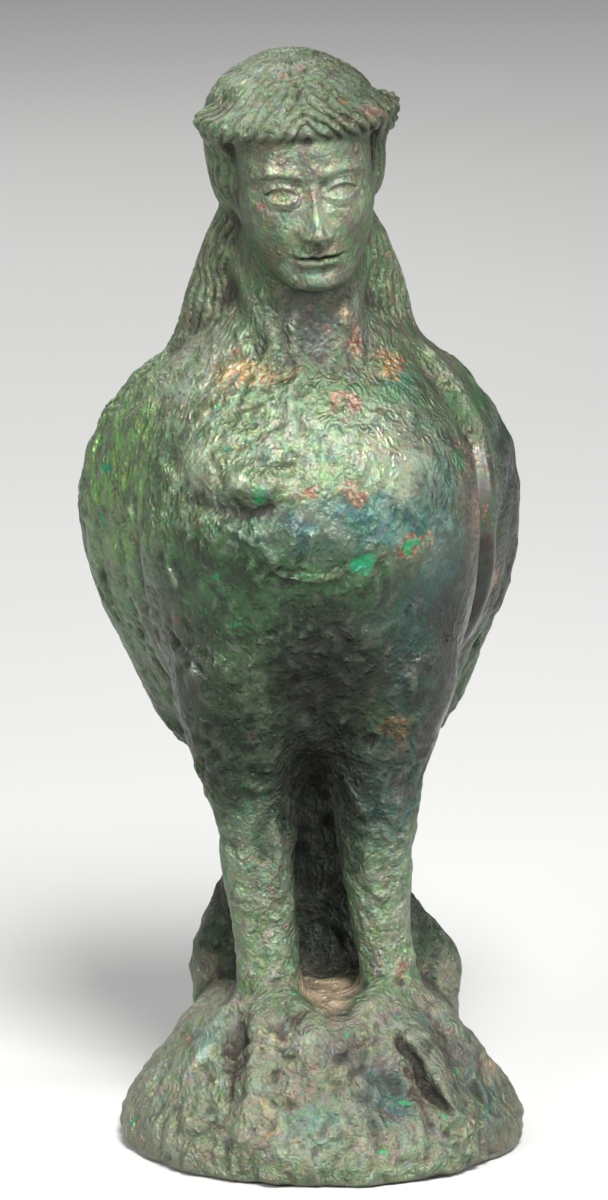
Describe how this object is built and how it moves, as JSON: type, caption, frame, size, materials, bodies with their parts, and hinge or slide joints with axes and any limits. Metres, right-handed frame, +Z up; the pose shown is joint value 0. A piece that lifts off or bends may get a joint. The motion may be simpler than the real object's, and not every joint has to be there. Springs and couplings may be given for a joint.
{
  "type": "siren figure",
  "caption": "Small solid-cast bronze siren, a bird with a woman's head and long hair, standing on a low mound cast in one with it, under a crusty green patina.",
  "frame": {"origin": "middle of the mound's flat underside", "axes": "+Z up the figure, -Y out of its breast and face"},
  "size_m": [0.032, 0.0277, 0.0797],
  "materials": {
    "bronze": "cast bronze under green and blue-green corrosion, brown and worn smooth at the right side of the body"
  },
  "bodies": {
    "root": {"siren_statuette": "bronze"}
  },
  "joints": []
}
